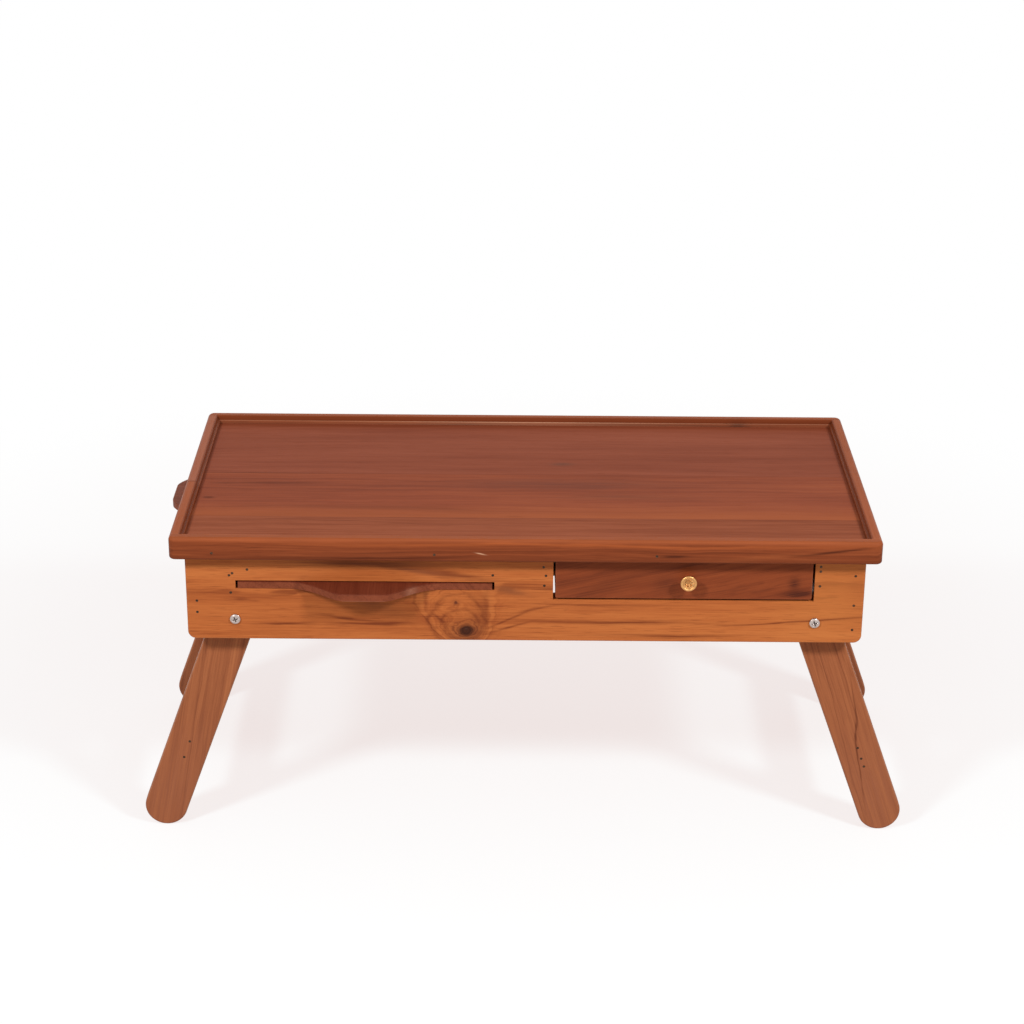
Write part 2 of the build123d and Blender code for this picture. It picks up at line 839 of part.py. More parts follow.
with BuildPart() as drawer_knob_screw:
    with BuildSketch(screw_plane):
        with BuildLine():
            pan_head_screw(0, knob_screw_length)
        make_face()
        fillet(vertices().sort_by_distance((head_radius, head_side, 0))[0], head_round)
    revolve(axis=knob_axis)
    with BuildSketch(
        Plane(origin=(knob_x, front_back_y + head_height, knob_z), x_dir=(1, 0, 0), z_dir=(0, 1, 0))
    ):
        cross_recess(0)
    extrude(amount=-recess_depth, taper=recess_taper, mode=Mode.SUBTRACT)

finish(drawer_knob, "drawer_knob")
finish(drawer_knob_screw, "drawer_knob_screw")
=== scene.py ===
import json
import math

import bpy
from mathutils import Matrix, Vector

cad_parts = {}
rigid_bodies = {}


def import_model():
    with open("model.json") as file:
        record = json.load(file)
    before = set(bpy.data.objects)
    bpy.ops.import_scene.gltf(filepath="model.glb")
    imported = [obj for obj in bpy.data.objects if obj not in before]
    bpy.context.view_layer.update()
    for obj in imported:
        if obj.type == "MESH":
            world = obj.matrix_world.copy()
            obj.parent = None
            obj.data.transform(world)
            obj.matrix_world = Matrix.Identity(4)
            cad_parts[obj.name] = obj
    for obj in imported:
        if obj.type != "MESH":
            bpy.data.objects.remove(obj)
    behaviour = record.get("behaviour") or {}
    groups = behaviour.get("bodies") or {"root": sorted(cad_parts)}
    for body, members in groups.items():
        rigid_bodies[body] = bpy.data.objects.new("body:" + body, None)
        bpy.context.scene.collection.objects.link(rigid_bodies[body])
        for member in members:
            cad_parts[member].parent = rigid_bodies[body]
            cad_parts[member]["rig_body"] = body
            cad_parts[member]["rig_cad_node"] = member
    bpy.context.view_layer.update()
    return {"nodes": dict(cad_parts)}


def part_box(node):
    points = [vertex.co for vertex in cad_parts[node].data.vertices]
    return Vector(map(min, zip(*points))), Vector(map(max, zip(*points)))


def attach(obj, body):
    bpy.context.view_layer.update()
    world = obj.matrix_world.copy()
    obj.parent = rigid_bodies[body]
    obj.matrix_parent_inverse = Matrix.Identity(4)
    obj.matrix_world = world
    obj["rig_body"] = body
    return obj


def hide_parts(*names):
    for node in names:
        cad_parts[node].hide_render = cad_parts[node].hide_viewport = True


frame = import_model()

parts = frame["nodes"]
mm = 0.001
bpy.ops.object.select_all(action="DESELECT")
print("frame loaded:", len(parts), "nodes")


# Node helpers. A value may be a number, a colour or another node's output.
def node(tree, kind, values=None, **settings):
    made = tree.nodes.new("ShaderNode" + kind)
    for key, value in settings.items():
        setattr(made, key, value)
    for key, value in (values or {}).items():
        if isinstance(value, bpy.types.NodeSocket):
            tree.links.new(value, made.inputs[key])
        else:
            made.inputs[key].default_value = value
    return made


def calc(tree, operation, first, second=0.0, third=0.0):
    return node(tree, "Math", {0: first, 1: second, 2: third}, operation=operation).outputs[0]


def ease(tree, value, start, stop):  # 0 before start, 1 after stop, smooth between
    sockets = {"Value": value, "From Min": start, "From Max": stop}
    return node(tree, "MapRange", sockets, interpolation_type="SMOOTHSTEP").outputs[0]


noiseSpan = (0.3, 0.7)  # where nearly all of a noise's values lie


def spread(tree, value):  # stretches a noise out to 0 to 1
    sockets = {"Value": value, "From Min": noiseSpan[0], "From Max": noiseSpan[1]}
    return node(tree, "MapRange", sockets).outputs[0]


def vary(tree, value, by, amount):  # stronger where another value is high: gain, then base
    return calc(tree, "MULTIPLY", value, calc(tree, "MULTIPLY_ADD", by, amount[0], amount[1]))


def squareSum(tree, first, second):
    return calc(tree, "ADD", calc(tree, "POWER", first, 2.0), calc(tree, "POWER", second, 2.0))


def times(tree, vector, scale):
    return node(tree, "VectorMath", {0: vector, 1: scale}, operation="MULTIPLY").outputs[0]


def noise(tree, vector, detail=2.0, rough=0.5, output="Fac"):
    sockets = {"Vector": vector, "Scale": 1.0, "Detail": detail, "Roughness": rough}
    return node(tree, "TexNoise", sockets).outputs[output]


def lineNoise(tree, value, detail=2.0, rough=0.5):
    sockets = {"W": value, "Scale": 1.0, "Detail": detail, "Roughness": rough}
    return node(tree, "TexNoise", sockets, noise_dimensions="1D").outputs["Fac"]


def tint(tree, factor, below, above):  # one colour laid over another
    mixer = node(tree, "Mix", {0: factor, 6: below, 7: above}, data_type="RGBA")
    return mixer.outputs[2]


def colour(red, green, blue):
    return (red, green, blue, 1.0)


def ramp(tree, value, stops):
    made = node(tree, "ValToRGB", {"Fac": value})
    marks = made.color_ramp.elements
    while len(marks) < len(stops):
        marks.new(0.5)
    for mark, (position, shade) in zip(marks, stops):
        mark.position = position
        mark.color = colour(*shade)
    return made.outputs["Color"]


def newFinish(name):
    material = bpy.data.materials.new(name)
    material.use_nodes = True
    tree = material.node_tree
    shader = tree.nodes["Principled BSDF"]
    return material, tree, shader


# Wood. The grain's own coordinates are in millimetres: along it, across it on the
# board's face, and through the board. These are the same for every board: how often
# each layer changes in a millimetre, and how strongly one layer acts on another.
layerScales = {
    "drift": (0.003, 0.014, 0.014), "curl": (0.045, 0.09, 0.09), "waver": (0.012, 0.07, 0.07),
    "patch": (0.0035, 0.022, 0.022), "figure": (0.006, 0.17, 0.17), "fibre": (0.016, 0.9, 0.9),
    "stretch": (0.007, 0.06, 0.06), "pores": (0.05, 1.5, 1.5),
}
grainHabits = {
    "poreEdge": (0.57, 0.7), "lineFineness": 2.3, "lineEdge": (0.57, 0.66), "lineFibre": (0.7, 0.5),
    "stretchEdge": (0.38, 0.68), "streakFibre": (0.9, 0.4), "loopFigure": (1.1, 0.2),
    "markMost": 0.9, "knotTwist": (1.6, 0.2), "haloSize": (2.1, 1.7), "haloTwist": (1.8, 0.0),
    "haloBands": (0.7, 0.5), "haloMost": 0.85, "coreRings": 9.0, "coreTwist": 1.3,
    "coreEdge": (0.25, 0.85), "coreShade": (1.5, 0.15), "coreMost": 0.95,
    "endFacing": (0.75, 0.95), "endDark": 0.5, "wearAndHighlightStart": 0.2, "wearAndHighlightPatch": (0.6, 0.3),
    "fibreGloss": 0.1, "poreGloss": 0.12, "bumpDepth": 0.12,
}


def layer(tree, place, name, detail=2.0, rough=0.5, output="Fac"):
    return noise(tree, times(tree, place, layerScales[name]), detail, rough, output)


def grainPlace(tree, look):
    place = node(tree, "TexCoord").outputs["Object"]
    if "turn" in look:  # degrees about Y, round a point, for a splayed leg
        mapping = node(tree, "Mapping", {"Vector": place}, vector_type="TEXTURE")
        mapping.inputs["Location"].default_value = look["about"]
        mapping.inputs["Rotation"].default_value = (0.0, math.radians(look["turn"]), 0.0)
        place = mapping.outputs[0]
    split = node(tree, "SeparateXYZ", {0: place})
    return [calc(tree, "DIVIDE", split.outputs[axis], mm) for axis in look["axes"]]


def away(tree, value, middle, size):  # distance from a middle, in sizes
    return calc(tree, "DIVIDE", calc(tree, "SUBTRACT", value, middle), size)


def hill(tree, along, across, at, size):  # a soft round bump, 1 at its middle
    sideways = away(tree, along, at[0], size[0])
    upwards = away(tree, across, at[1], size[1])
    return calc(tree, "EXPONENT", calc(tree, "MULTIPLY", squareSum(tree, sideways, upwards), -1.0))


def edgeDistance(tree, place, box):  # millimetres to the board's nearest edge
    gaps = []
    for value, (low, high) in zip(place, box):
        near = calc(tree, "SUBTRACT", value, low)
        far = calc(tree, "SUBTRACT", high, value)
        gaps.append(calc(tree, "MINIMUM", near, far))
    shorter = calc(tree, "MINIMUM", gaps[0], gaps[1])
    longer = calc(tree, "MAXIMUM", gaps[0], gaps[1])
    return calc(tree, "MAXIMUM", shorter, calc(tree, "MINIMUM", longer, gaps[2]))


# Everything that the parts of a wood read: the place in it, then its layers
def readGrain(tree, look):
    along, across, through = grainPlace(tree, look)
    lined = calc(tree, "MULTIPLY_ADD", along, look.get("lean", 0.0), across)
    length = calc(tree, "ADD", along, look.get("shift", 0.0))
    place = node(tree, "CombineXYZ", {0: length, 1: lined, 2: through}).outputs[0]
    return {
        "along": along, "across": across, "through": through, "lined": lined, "place": place,
        "curl": layer(tree, place, "curl", 3.0),
        "waver": layer(tree, place, "waver", 3.0),
        "patch": spread(tree, layer(tree, place, "patch", 3.0)),
        "figure": spread(tree, layer(tree, place, "figure", 4.0, 0.6)),
        "fibre": spread(tree, layer(tree, place, "fibre", 4.0, 0.6)),
        "pores": ease(tree, layer(tree, place, "pores"), *grainHabits["poreEdge"]),
    }


# Growth rings round a pith that lies outside the board, drawn aside by its knots
def growthRings(tree, grain, look):
    drift = node(tree, "SeparateXYZ", {0: layer(tree, grain["place"], "drift", output="Color")})
    sideways = calc(tree, "SUBTRACT", grain["lined"], look["pith"][0])
    sideways = calc(tree, "MULTIPLY_ADD", drift.outputs[0], look["drift"], sideways)
    depth = calc(tree, "SUBTRACT", grain["through"], look["pith"][1])
    depth = calc(tree, "MULTIPLY_ADD", drift.outputs[1], look["drift"], depth)
    field = calc(tree, "SQRT", squareSum(tree, sideways, depth))
    for knot in look.get("knots", []):
        rise = hill(tree, grain["along"], grain["across"], knot["at"], knot["flow"])
        twisted = vary(tree, rise, grain["curl"], grainHabits["knotTwist"])
        field = calc(tree, "MULTIPLY_ADD", twisted, knot["rise"], field)
    field = calc(tree, "MULTIPLY_ADD", grain["waver"], look["waver"], field)
    return calc(tree, "DIVIDE", field, look["ring"])


def lateLines(tree, grain, ring, look, shade):  # thin, stronger in some stretches than in others
    finer = calc(tree, "MULTIPLY", ring, grainHabits["lineFineness"])
    late = ease(tree, lineNoise(tree, finer, 1.5), *grainHabits["lineEdge"])
    stretch = ease(tree, layer(tree, grain["place"], "stretch"), *grainHabits["stretchEdge"])
    late = calc(tree, "MULTIPLY", late, calc(tree, "MULTIPLY", stretch, look["late"]))
    late = vary(tree, late, grain["fibre"], grainHabits["lineFibre"])
    return tint(tree, late, shade, colour(*look["line"]))


def layMark(tree, mark, settings, look, shade):
    mark = calc(tree, "MULTIPLY", mark, settings["dark"])
    mark = calc(tree, "MINIMUM", mark, grainHabits["markMost"])
    return tint(tree, mark, shade, colour(*settings.get("colour", look["line"])))


def layStreak(tree, grain, streak, look, shade):  # a line or patch along the grain
    gone = calc(tree, "SUBTRACT", grain["along"], streak["at"][0])
    bend = calc(tree, "MULTIPLY", gone, streak.get("slope", 0.0))
    level = calc(tree, "SUBTRACT", grain["across"], bend)
    waver = calc(tree, "SUBTRACT", grain["waver"], 0.5)
    level = calc(tree, "MULTIPLY_ADD", waver, streak.get("sway", 4.0), level)
    mark = hill(tree, grain["along"], level, streak["at"], streak["size"])
    mark = vary(tree, mark, grain["fibre"], grainHabits["streakFibre"])
    return layMark(tree, mark, streak, look, shade)


def layLoop(tree, grain, loop, look, shade):  # a broad line round a knot, broken here and there
    wide = away(tree, grain["along"], loop["at"][0], loop["size"][0])
    high = away(tree, grain["across"], loop["at"][1], loop["size"][1])
    reach = calc(tree, "SQRT", squareSum(tree, wide, high))
    curl = calc(tree, "SUBTRACT", grain["curl"], 0.5)
    reach = calc(tree, "MULTIPLY_ADD", curl, loop["sway"], reach)
    mark = hill(tree, reach, 0.0, (1.0, 0.0), (loop["wide"], 1.0))
    mark = vary(tree, mark, grain["figure"], grainHabits["loopFigure"])
    return layMark(tree, mark, loop, look, shade)


def layKnot(tree, grain, bands, knot, shade):  # a dark core with rings in a stained halo
    habits, size = grainHabits, knot["core"]
    haloSize = [size * share for share in habits["haloSize"]]
    halo = hill(tree, grain["along"], grain["across"], knot["at"], haloSize)
    halo = vary(tree, halo, grain["curl"], habits["haloTwist"])
    halo = vary(tree, halo, bands, habits["haloBands"])
    halo = calc(tree, "MINIMUM", halo, habits["haloMost"])
    shade = tint(tree, halo, shade, colour(*knot["halo"]))
    core = hill(tree, grain["along"], grain["across"], knot["at"], (size, size))
    rings = lineNoise(tree, calc(tree, "MULTIPLY", core, habits["coreRings"]), 2.0)
    curl = calc(tree, "SUBTRACT", grain["curl"], 0.5)
    core = calc(tree, "MULTIPLY_ADD", curl, habits["coreTwist"], core)
    core = vary(tree, ease(tree, core, *habits["coreEdge"]), rings, habits["coreShade"])
    core = calc(tree, "MINIMUM", core, habits["coreMost"])
    return tint(tree, core, shade, colour(*knot["colour"]))


def endGrain(tree, look, shade):  # it drinks more polish and is darker
    ends = look.get("ends", look["axes"][0])
    if ends is None:
        return shade
    facing = node(tree, "SeparateXYZ", {0: node(tree, "TexCoord").outputs["Normal"]})
    onEnd = calc(tree, "ABSOLUTE", facing.outputs[ends])
    onEnd = ease(tree, onEnd, *grainHabits["endFacing"])
    onEnd = calc(tree, "MULTIPLY", onEnd, grainHabits["endDark"])
    return tint(tree, onEnd, shade, colour(*look["line"]))


def wornAndHighlitEdges(tree, grain, look, shade):  # worn edges with a painted highlight along them, a little paler than the faces
    place = (grain["along"], grain["across"], grain["through"])
    wearAndHighlightBand = edgeDistance(tree, place, look["box"])
    wearAndHighlightBand = ease(tree, wearAndHighlightBand, grainHabits["wearAndHighlightStart"], look.get("wearAndHighlightBand", 1.6))
    wearAndHighlightBand = calc(tree, "SUBTRACT", 1.0, wearAndHighlightBand)
    wearAndHighlightBand = vary(tree, wearAndHighlightBand, grain["patch"], grainHabits["wearAndHighlightPatch"])
    wearAndHighlight = calc(tree, "MULTIPLY", wearAndHighlightBand, look.get("wearAndHighlight", 0.4))
    return tint(tree, wearAndHighlight, shade, colour(*look["wearAndHighlightColour"]))


# A line or band of another tone beside a plane across one of the grain's axes, as where polish
# gathers in a joint,
# and also painted light and shade: a lit rim top, shaded faces, a painted highlight, a painted
# reflection; it may be stronger round one place along it
def edgeBand(tree, grain, band, look, shade):
    place = (grain["along"], grain["across"], grain["through"])
    gap = calc(tree, "ABSOLUTE", calc(tree, "SUBTRACT", place[band["axis"]], band["at"]))
    close = calc(tree, "SUBTRACT", 1.0, ease(tree, gap, band.get("core", 0.2), band["wide"]))
    strength = band["dark"]
    if "more" in band:  # where along it, how far it reaches, how much
        middle, reach, gain = band["more"]
        extra = hill(tree, place[0], 0.0, (middle, 0.0), (reach, 1.0))
        strength = calc(tree, "MULTIPLY_ADD", extra, gain, strength)
    close = calc(tree, "MULTIPLY", close, strength)
    return tint(tree, close, shade, colour(*band.get("colour", look["line"])))


def wood(name, look):
    material, tree, shader = newFinish(name)
    grain = readGrain(tree, look)
    ring = growthRings(tree, grain, look)
    bands = spread(tree, lineNoise(tree, ring, 3.0, 0.6))
    tone = 0.0
    for part, share in zip((bands, grain["patch"], grain["figure"], grain["fibre"]), look["share"]):
        tone = calc(tree, "MULTIPLY_ADD", part, share, tone)
    shade = ramp(tree, tone, look["shades"])
    shade = lateLines(tree, grain, ring, look, shade)
    dashes = calc(tree, "MULTIPLY", grain["pores"], look.get("pores", 0.3))
    shade = tint(tree, dashes, shade, colour(*look["line"]))
    for streak in look.get("streaks", []):
        shade = layStreak(tree, grain, streak, look, shade)
    for loop in look.get("loops", []):
        shade = layLoop(tree, grain, loop, look, shade)
    for knot in look.get("knots", []):
        if "core" in knot:
            shade = layKnot(tree, grain, bands, knot, shade)
    shade = endGrain(tree, look, shade)
    if "box" in look:
        shade = wornAndHighlitEdges(tree, grain, look, shade)
    for band in look.get("bands", []):
        shade = edgeBand(tree, grain, band, look, shade)
    tree.links.new(shade, shader.inputs["Base Color"])

    fibre, pores = grain["fibre"], grain["pores"]
    uneven = calc(tree, "SUBTRACT", fibre, 0.5)
    gloss = calc(tree, "MULTIPLY_ADD", uneven, grainHabits["fibreGloss"], look["rough"])
    gloss = calc(tree, "MULTIPLY_ADD", pores, grainHabits["poreGloss"], gloss)
    tree.links.new(gloss, shader.inputs["Roughness"])
    shader.inputs["Specular IOR Level"].default_value = look["gloss"]
    height = calc(tree, "SUBTRACT", calc(tree, "MULTIPLY", fibre, 0.5), pores)
    depth = grainHabits["bumpDepth"] * mm
    sockets = {"Strength": look.get("bump", 0.2), "Distance": depth, "Height": height}
    tree.links.new(node(tree, "Bump", sockets).outputs[0], shader.inputs["Normal"])
    return material


def paint(name, material):
    parts[name].material_slots[0].material = material


def limits(name, axes):  # a node's box in its grain's coordinates
    low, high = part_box(name)
    return [(low[axis] / mm, high[axis] / mm) for axis in axes]


joining = {"weld": 0.002 * mm, "flatAngle": 0.05, "smoothAngle": 38.0}  # angles in degrees


# A node's own shape with its triangles joined and its curves shaded smooth
def smoothPiece(name, material):
    source = parts[name]
    bpy.ops.object.select_all(action="DESELECT")
    source.select_set(True)
    bpy.context.view_layer.objects.active = source
    bpy.ops.object.duplicate()
    piece = bpy.context.active_object
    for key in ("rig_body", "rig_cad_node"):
        if key in piece:
            del piece[key]
    piece.parent = None
    piece.matrix_world = Matrix.Identity(4)
    piece.name = name + "_finished"
    bpy.ops.object.mode_set(mode="EDIT")
    bpy.ops.mesh.select_all(action="SELECT")
    bpy.ops.mesh.remove_doubles(threshold=joining["weld"])
    bpy.ops.mesh.dissolve_limited(angle_limit=math.radians(joining["flatAngle"]))
    bpy.ops.object.mode_set(mode="OBJECT")
    bpy.ops.object.shade_smooth_by_angle(angle=math.radians(joining["smoothAngle"]))
    weighted = piece.modifiers.new("faceWeight", "WEIGHTED_NORMAL")
    weighted.keep_sharp = True
    bpy.ops.object.modifier_apply(modifier=weighted.name)
    piece.material_slots[0].material = material
    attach(piece, source["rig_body"])
    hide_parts(name)
    piece.select_set(False)


# Looks, each in the grain's millimetres; share is rings, patches, figure, fibre
apronLook = {
    "axes": (0, 2, 1), "pith": (150.0, 260.0), "ring": 9.0, "drift": 16.0, "waver": 9.0,
    "share": (0.3, 0.2, 0.25, 0.25),
    "shades": [(0.2, (0.56, 0.172, 0.046)), (0.5, (0.47, 0.130, 0.034)),
               (0.8, (0.34, 0.082, 0.022))],
    "line": (0.18, 0.038, 0.012), "wearAndHighlightColour": (0.62, 0.26, 0.12), "late": 0.85, "rough": 0.42,
    "gloss": 0.08, "pores": 0.45,
}
frontApronLook = {
    **apronLook, "box": limits("front_apron", (0, 2, 1)), "wearAndHighlight": 0.3,
    "knots": [
        {"at": (-60.0, 226.0), "flow": (24.0, 18.0), "rise": 34.0},
        {"at": (-51.0, 205.3), "flow": (16.0, 14.0), "rise": 52.0, "core": 6.4,
         "colour": (0.042, 0.012, 0.007), "halo": (0.13, 0.034, 0.014)},
        {"at": (-60.0, 232.0), "flow": (3.0, 3.0), "rise": 3.0, "core": 1.6,
         "colour": (0.12, 0.030, 0.015), "halo": (0.25, 0.065, 0.020)},
    ],
    "loops": [
        {"at": (-59.0, 216.0), "size": (24.0, 23.0), "wide": 0.09, "dark": 0.62, "sway": 0.7},
        {"at": (-56.0, 211.0), "size": (15.5, 14.0), "wide": 0.13, "dark": 0.55, "sway": 1.0},
    ],
    "streaks": [
        {"at": (-140.0, 269.0), "size": (58.0, 3.0), "dark": 0.75, "sway": 9.0,
         "colour": (0.17, 0.050, 0.022)},
        {"at": (-95.0, 262.0), "size": (40.0, 2.4), "dark": 0.8, "sway": 8.0, "slope": -0.14,
         "colour": (0.19, 0.056, 0.024)},
        {"at": (-86.0, 234.0), "size": (2.2, 10.0), "dark": 0.7, "sway": 0.0,
         "colour": (0.20, 0.045, 0.014)},
        {"at": (-56.0, 246.0), "size": (26.0, 1.5), "dark": 0.8, "sway": 3.0,
         "colour": (0.20, 0.045, 0.014)},
        {"at": (-34.0, 224.0), "size": (3.0, 15.0), "dark": 0.8, "sway": 0.0,
         "colour": (0.20, 0.045, 0.014)},
        {"at": (-74.0, 216.0), "size": (7.0, 2.0), "dark": 0.9, "sway": 0.0, "slope": -0.8},
        {"at": (-51.0, 206.6), "size": (0.9, 0.9), "dark": 2.0, "sway": 0.0,
         "colour": (0.42, 0.30, 0.24)},
        {"at": (262.0, 236.0), "size": (44.0, 50.0), "dark": 0.35, "sway": 0.0,
         "colour": (0.62, 0.22, 0.055)},
        {"at": (-60.0, 258.0), "size": (26.0, 2.6), "dark": 0.9, "sway": 12.0, "slope": -0.16},
        # painted shadow below the front board's tongue
        {"at": (-150.0, 236.0), "size": (40.0, 7.0), "dark": 0.7, "sway": 14.0, "slope": -0.35,
         "colour": (0.22, 0.062, 0.022)},
        {"at": (-246.0, 233.5), "size": (8.0, 1.4), "dark": 1.0},
        {"at": (-208.0, 209.5), "size": (22.0, 1.2), "dark": 1.3, "sway": 8.0},
        {"at": (-130.0, 210.5), "size": (30.0, 1.6), "dark": 1.4, "sway": 12.0},
        {"at": (-150.0, 216.0), "size": (26.0, 1.3), "dark": 1.0, "sway": 12.0, "slope": -0.12},
        {"at": (-14.0, 243.5), "size": (15.0, 3.4), "dark": 0.95, "sway": 2.0, "slope": -0.22,
         "colour": (0.27, 0.080, 0.028)},
        {"at": (-38.0, 226.0), "size": (7.0, 16.0), "dark": 0.45},
        {"at": (-14.0, 216.0), "size": (17.0, 1.2), "dark": 0.9, "sway": 3.0, "slope": 0.5},
        {"at": (-12.0, 208.5), "size": (18.0, 1.1), "dark": 0.85, "sway": 3.0, "slope": 0.32},
        {"at": (12.0, 226.5), "size": (20.0, 1.1), "dark": 0.8, "sway": 3.0, "slope": 0.22},
        {"at": (66.0, 230.5), "size": (60.0, 0.9), "dark": 0.7, "sway": 4.0},
        {"at": (66.0, 214.5), "size": (72.0, 1.7), "dark": 0.95, "sway": 9.0},
        {"at": (128.0, 202.0), "size": (52.0, 1.5), "dark": 0.8, "sway": 9.0},
        {"at": (236.0, 216.0), "size": (70.0, 0.9), "dark": 1.0, "sway": 6.0, "slope": 0.07},
    ],
}

lippingLook = {
    "axes": (0, 2, 1), "pith": (-420.0, 150.0), "ring": 6.5, "drift": 30.0, "waver": 7.0,
    "share": (0.3, 0.25, 0.2, 0.25),
    "shades": [(0.2, (0.33, 0.084, 0.029)), (0.5, (0.24, 0.056, 0.020)),
               (0.8, (0.16, 0.035, 0.013))],
    "line": (0.075, 0.018, 0.009), "wearAndHighlightColour": (0.56, 0.20, 0.09), "late": 0.5, "rough": 0.34,
    "gloss": 0.03,
}
# painted light: the top of each rim strip is made lighter than its faces, as if the lamps lit it
# more
railTopLight = {"axis": 1, "at": 297.0, "core": 1.5, "wide": 6.0, "dark": 0.5,
           "colour": (0.42, 0.110, 0.038)}
frontRailLook = {
    **lippingLook,
    "bands": [railTopLight, {"axis": 1, "at": 275.0, "core": 2.0, "wide": 9.0, "dark": 0.25}],
    "box": limits("front_lipping", lippingLook["axes"]),
    "streaks": [
        {"at": (-38.5, 283.4), "size": (3.6, 0.5), "dark": 1.6, "slope": -0.2, "sway": 0.0,
         "colour": (0.62, 0.34, 0.20)},
        {"at": (60.0, 291.5), "size": (260.0, 1.6), "dark": 0.6, "sway": 8.0,
         "colour": (0.50, 0.120, 0.034)},
        {"at": (126.0, 282.0), "size": (12.0, 1.3), "dark": 1.2},
        {"at": (262.0, 287.0), "size": (26.0, 1.0), "dark": 1.3, "slope": 0.12, "sway": 3.0},
        {"at": (200.0, 281.0), "size": (40.0, 2.5), "dark": 0.5, "slope": 0.1,
         "colour": (0.36, 0.095, 0.032)},
        {"at": (-130.0, 279.0), "size": (80.0, 1.2), "dark": 0.7, "sway": 5.0},
    ],
}

plankLook = {
    "axes": (0, 1, 2), "pith": (-900.0, -160.0), "ring": 8.0, "drift": 40.0, "waver": 10.0,
    "share": (0.2, 0.42, 0.16, 0.22), "line": (0.14, 0.036, 0.020), "late": 0.16, "pores": 0.3,
    "rough": 0.3, "gloss": 0.006, "bump": 0.06,
}
# painted shade on the planks along the foot of the side rims
rimFootShade = {"core": 0.5, "wide": 4.0, "dark": 0.45, "colour": (0.17, 0.034, 0.012)}
sideRimShade = [{**rimFootShade, "axis": 0, "at": -293.5}, {**rimFootShade, "axis": 0, "at": 293.5}]
plankLooks = {
    "top_plank_front": {
        **plankLook, "share": (0.1, 0.2, 0.36, 0.34), "late": 0.3,
        "shades": [(0.25, (0.34, 0.098, 0.048)), (0.5, (0.285, 0.079, 0.037)),
                   (0.75, (0.23, 0.060, 0.028))],
        "bands": sideRimShade + [
            {"axis": 1, "at": -79.5, "core": 0.1, "wide": 1.3, "dark": 0.35},
            # painted shade along the foot of the front rim
            {"axis": 1, "at": -134.0, "core": 0.5, "wide": 2.5, "dark": 0.5},
        ],
    },
    "top_plank_middle": {
        **plankLook, "shift": 700.0,
        "shades": [(0.25, (0.33, 0.086, 0.039)), (0.5, (0.28, 0.070, 0.034)),
                   (0.75, (0.21, 0.053, 0.028))],
        "bands": sideRimShade + [
            {"axis": 1, "at": -82.0, "core": 4.0, "wide": 38.0, "dark": 0.55,
             "colour": (0.39, 0.105, 0.038)},
            {"axis": 1, "at": 21.5, "core": 0.2, "wide": 1.6, "dark": 0.22,
             "more": (-236.0, 60.0, 0.7)},
        ],
        "streaks": [
            {"at": (-225.0, -2.0), "size": (42.0, 2.4), "dark": 1.0, "sway": 5.0},
            {"at": (-272.0, -4.0), "size": (14.0, 1.6), "dark": 0.8},
            {"at": (-283.0, -37.5), "size": (5.0, 2.2), "dark": 1.5, "sway": 0.0},
            {"at": (40.0, -2.0), "size": (110.0, 12.0), "dark": 0.55, "sway": 22.0,
             "colour": (0.15, 0.052, 0.036)},
            {"at": (90.0, -30.0), "size": (60.0, 7.0), "dark": 0.4, "sway": 18.0,
             "colour": (0.16, 0.055, 0.034)},
            {"at": (-10.0, -76.0), "size": (9.0, 1.2), "dark": 0.9},
        ],
    },
    "top_plank_back": {
        **plankLook, "shift": 1500.0,
        "shades": [(0.25, (0.30, 0.082, 0.044)), (0.5, (0.265, 0.070, 0.037)),
                   (0.75, (0.22, 0.056, 0.030))],
        "bands": sideRimShade + [
            # painted reflection of the back rim's inner face in the polished top
            {"axis": 1, "at": 148.0, "core": 3.0, "wide": 13.0, "dark": 0.6,
             "colour": (0.18, 0.036, 0.012)},
            {"axis": 1, "at": 21.5, "core": 0.2, "wide": 1.2, "dark": 0.22,
             "more": (-236.0, 60.0, 0.6)},
        ],
        "streaks": [
            {"at": (35.0, 48.0), "size": (10.0, 3.5), "dark": 0.8, "sway": 2.0,
             "colour": (0.13, 0.058, 0.040)},
        ],
    },
}

legLook = {
    "axes": (2, 0, 1), "pith": (-320.0, -110.0), "ring": 7.0, "drift": 22.0, "waver": 8.0,
    "share": (0.2, 0.25, 0.28, 0.27),
    "shades": [(0.2, (0.43, 0.146, 0.056)), (0.5, (0.345, 0.109, 0.043)),
               (0.8, (0.24, 0.070, 0.029))],
    "line": (0.15, 0.040, 0.018), "wearAndHighlightColour": (0.66, 0.36, 0.22), "late": 0.6, "rough": 0.4,
    "gloss": 0.08, "ends": None, "wearAndHighlightBand": 1.4, "wearAndHighlight": 0.5,
}

drawerLook = {
    "axes": (0, 2, 1), "pith": (400.0, 220.0), "ring": 6.0, "lean": -0.22, "drift": 26.0,
    "waver": 12.0, "share": (0.26, 0.28, 0.22, 0.24),
    "shades": [(0.2, (0.28, 0.064, 0.021)), (0.5, (0.225, 0.049, 0.017)),
               (0.8, (0.155, 0.033, 0.013))],
    "line": (0.07, 0.017, 0.010), "wearAndHighlightColour": (0.42, 0.13, 0.06), "late": 0.4, "rough": 0.36,
    "gloss": 0.06,
    "streaks": [
        {"at": (236.0, 242.0), "size": (13.0, 2.6), "dark": 1.6, "sway": 6.0, "slope": 0.1},
        {"at": (232.0, 252.0), "size": (5.0, 6.0), "dark": 0.9, "sway": 2.0},
        {"at": (121.0, 250.0), "size": (12.0, 9.0), "dark": 0.5},
        {"at": (70.0, 249.0), "size": (30.0, 5.0), "dark": 0.35, "slope": 0.3},
    ],
}

